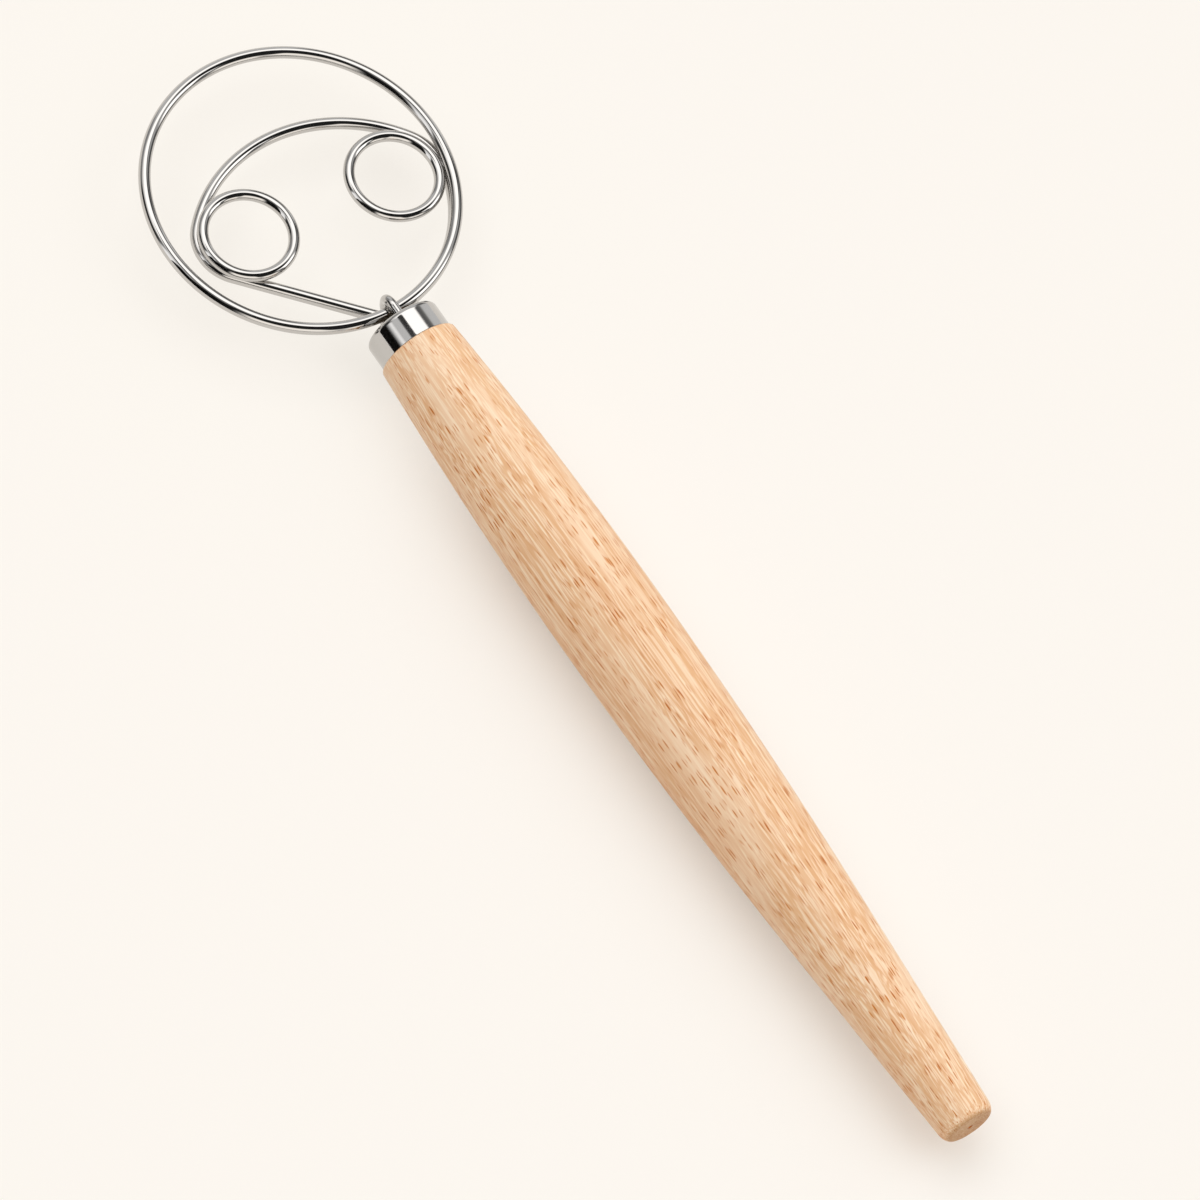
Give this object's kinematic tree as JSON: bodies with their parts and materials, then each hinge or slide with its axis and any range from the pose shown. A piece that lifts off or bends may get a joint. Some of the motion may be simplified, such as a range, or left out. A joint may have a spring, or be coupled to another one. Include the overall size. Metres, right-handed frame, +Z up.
{
  "type": "dough whisk",
  "caption": "Dough whisk with a turned beech handle, a polished steel ferrule and a flat head: an outer ring, an inner bow and two eye rings of bent steel wire, clasped at the neck.",
  "frame": {"origin": "under the middle of the whole whisk, on the plane that the handle's belly touches", "axes": "+X along the handle from the butt to the head, +Y to the side of the left eye ring, +Z up, square to the head's ring"},
  "size_m": [0.3428, 0.084, 0.028],
  "materials": {
    "handle_wood": "fine sanded beech, satin oil",
    "ferrule_steel": "mirror polished stainless steel sheet",
    "wire_steel": "polished stainless steel wire",
    "resin": "cured smoky grey resin"
  },
  "bodies": {
    "root": {"handle": "handle_wood", "ferrule": "ferrule_steel", "outer_ring": "wire_steel", "inner_bow": "wire_steel", "left_eye_ring": "wire_steel", "right_eye_ring": "wire_steel", "neck_clasp": "wire_steel", "resin_plug": "resin"}
  },
  "joints": []
}
